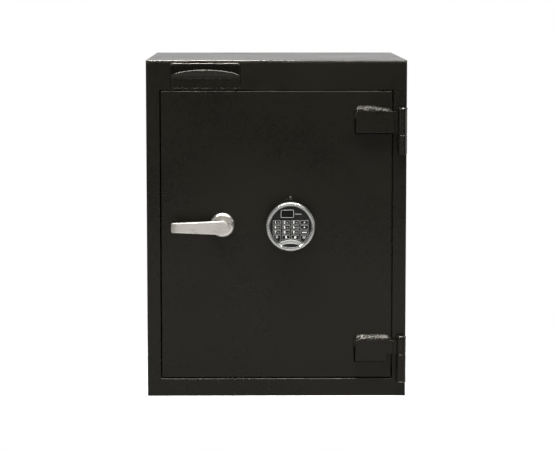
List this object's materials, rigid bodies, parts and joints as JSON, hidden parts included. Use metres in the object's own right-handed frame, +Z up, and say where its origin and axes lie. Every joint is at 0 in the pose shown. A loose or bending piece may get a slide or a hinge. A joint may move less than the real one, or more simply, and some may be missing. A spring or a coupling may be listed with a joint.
{
  "type": "drop safe",
  "caption": "Upright black steel drop safe with a small deposit drawer at the top left, an inset hinged door, a lever handle and a round electronic keypad lock.",
  "frame": {"origin": "middle of the underside, on the floor", "axes": "+X to the viewer's right as the door is faced, +Y from the door to the back, +Z up"},
  "size_m": [0.509, 0.558, 0.661],
  "materials": {
    "black_paint": "smooth satin black paint over steel plate",
    "inner_paint": "matt dark grey paint over sheet steel",
    "satin_nickel": "satin nickel plating",
    "zinc_steel": "zinc plated steel",
    "black_plastic": "black moulded plastic with a slight sheen",
    "silver_plastic": "silver painted plastic",
    "key_rubber": "black rubber with light legends",
    "dark_window": "dark clear plastic window"
  },
  "bodies": {
    "cabinet": {"top_plate": "black_paint", "left_side_plate": "black_paint", "right_side_plate": "black_paint", "back_plate": "black_paint", "base_plate": "black_paint", "front_frame": "black_paint", "lock_jamb_bar": "inner_paint", "upper_door_stop": "inner_paint", "lower_door_stop": "inner_paint", "frame_knuckle_upper": "black_paint", "frame_knuckle_lower": "black_paint", "hinge_pin_upper": "black_paint", "hinge_pin_lower": "black_paint", "housing_left_wall": "inner_paint", "housing_right_wall": "inner_paint", "housing_floor": "inner_paint", "deflector_plate": "inner_paint"},
    "door": {"door_plate": "black_paint", "dead_bar": "black_paint", "hinge_strap_upper": "black_paint", "hinge_strap_lower": "black_paint", "handle_rose": "satin_nickel", "bolt_guide_outer": "zinc_steel", "bolt_guide_inner": "zinc_steel", "hard_plate": "zinc_steel", "lock_body": "zinc_steel", "keypad_base": "black_plastic", "keypad_ring": "silver_plastic", "keypad_face": "black_plastic", "display_window": "dark_window", "service_screw": "satin_nickel"},
    "handle": {"lever_handle": "satin_nickel", "handle_spindle": "zinc_steel", "cam_arm": "zinc_steel"},
    "boltwork": {"bolt_bar": "zinc_steel", "drive_plate": "zinc_steel", "bolt_lower": "zinc_steel", "bolt_middle": "zinc_steel", "bolt_upper": "zinc_steel"},
    "lock_bolt": {"lock_bolt": "zinc_steel"},
    "drawer": {"drawer_front": "black_paint", "drawer_pull": "black_paint", "drawer_tray": "inner_paint"},
    "flap": {"deposit_flap": "inner_paint"},
    "key_1_1": {"key_1_1": "key_rubber"},
    "key_1_2": {"key_1_2": "key_rubber"},
    "key_1_3": {"key_1_3": "key_rubber"},
    "key_1_4": {"key_1_4": "key_rubber"},
    "key_2_1": {"key_2_1": "key_rubber"},
    "key_2_2": {"key_2_2": "key_rubber"},
    "key_2_3": {"key_2_3": "key_rubber"},
    "key_2_4": {"key_2_4": "key_rubber"},
    "key_3_1": {"key_3_1": "key_rubber"},
    "key_3_2": {"key_3_2": "key_rubber"},
    "key_3_3": {"key_3_3": "key_rubber"},
    "key_3_4": {"key_3_4": "key_rubber"},
    "key_4_1": {"key_4_1": "key_rubber"},
    "key_4_2": {"key_4_2": "key_rubber"},
    "key_4_3": {"key_4_3": "key_rubber"},
    "key_4_4": {"key_4_4": "key_rubber"}
  },
  "joints": [
    {"name": "door_swing", "type": "hinge", "parent": "cabinet", "child": "door", "pos_m": [0.245, -0.264, 0.32], "axis": [0, 0, 1], "range_deg": [0, 170]},
    {"name": "handle_turn", "type": "hinge", "parent": "door", "child": "handle", "pos_m": [-0.1058, -0.254, 0.3395], "axis": [0, -1, 0], "range_deg": [0, 60]},
    {"name": "bolt_slide", "type": "slide", "parent": "door", "child": "boltwork", "axis": [-1, 0, 0], "range_m": [0, 0.025]},
    {"name": "lock_bolt_slide", "type": "slide", "parent": "door", "child": "lock_bolt", "axis": [0, 0, 1], "range_m": [0, 0.01]},
    {"name": "drawer_slide", "type": "slide", "parent": "cabinet", "child": "drawer", "axis": [0, -1, 0], "range_m": [0, 0.15]},
    {"name": "flap_swing", "type": "hinge", "parent": "cabinet", "child": "flap", "pos_m": [-0.1385, -0.0496, 0.6513], "axis": [1, 0, 0], "range_deg": [0, 70]},
    {"name": "key_1_1_press", "type": "slide", "parent": "door", "child": "key_1_1", "axis": [0, 1, 0], "range_m": [0, 0.001], "stiffness_N_per_m": 250},
    {"name": "key_1_2_press", "type": "slide", "parent": "door", "child": "key_1_2", "axis": [0, 1, 0], "range_m": [0, 0.001], "stiffness_N_per_m": 250},
    {"name": "key_1_3_press", "type": "slide", "parent": "door", "child": "key_1_3", "axis": [0, 1, 0], "range_m": [0, 0.001], "stiffness_N_per_m": 250},
    {"name": "key_1_4_press", "type": "slide", "parent": "door", "child": "key_1_4", "axis": [0, 1, 0], "range_m": [0, 0.001], "stiffness_N_per_m": 250},
    {"name": "key_2_1_press", "type": "slide", "parent": "door", "child": "key_2_1", "axis": [0, 1, 0], "range_m": [0, 0.001], "stiffness_N_per_m": 250},
    {"name": "key_2_2_press", "type": "slide", "parent": "door", "child": "key_2_2", "axis": [0, 1, 0], "range_m": [0, 0.001], "stiffness_N_per_m": 250},
    {"name": "key_2_3_press", "type": "slide", "parent": "door", "child": "key_2_3", "axis": [0, 1, 0], "range_m": [0, 0.001], "stiffness_N_per_m": 250},
    {"name": "key_2_4_press", "type": "slide", "parent": "door", "child": "key_2_4", "axis": [0, 1, 0], "range_m": [0, 0.001], "stiffness_N_per_m": 250},
    {"name": "key_3_1_press", "type": "slide", "parent": "door", "child": "key_3_1", "axis": [0, 1, 0], "range_m": [0, 0.001], "stiffness_N_per_m": 250},
    {"name": "key_3_2_press", "type": "slide", "parent": "door", "child": "key_3_2", "axis": [0, 1, 0], "range_m": [0, 0.001], "stiffness_N_per_m": 250},
    {"name": "key_3_3_press", "type": "slide", "parent": "door", "child": "key_3_3", "axis": [0, 1, 0], "range_m": [0, 0.001], "stiffness_N_per_m": 250},
    {"name": "key_3_4_press", "type": "slide", "parent": "door", "child": "key_3_4", "axis": [0, 1, 0], "range_m": [0, 0.001], "stiffness_N_per_m": 250},
    {"name": "key_4_1_press", "type": "slide", "parent": "door", "child": "key_4_1", "axis": [0, 1, 0], "range_m": [0, 0.001], "stiffness_N_per_m": 250},
    {"name": "key_4_2_press", "type": "slide", "parent": "door", "child": "key_4_2", "axis": [0, 1, 0], "range_m": [0, 0.001], "stiffness_N_per_m": 250},
    {"name": "key_4_3_press", "type": "slide", "parent": "door", "child": "key_4_3", "axis": [0, 1, 0], "range_m": [0, 0.001], "stiffness_N_per_m": 250},
    {"name": "key_4_4_press", "type": "slide", "parent": "door", "child": "key_4_4", "axis": [0, 1, 0], "range_m": [0, 0.001], "stiffness_N_per_m": 250}
  ],
  "couplings": [
    {"joint": "bolt_slide", "follows": "handle_turn", "m_per_rad": 0.023873}
  ]
}
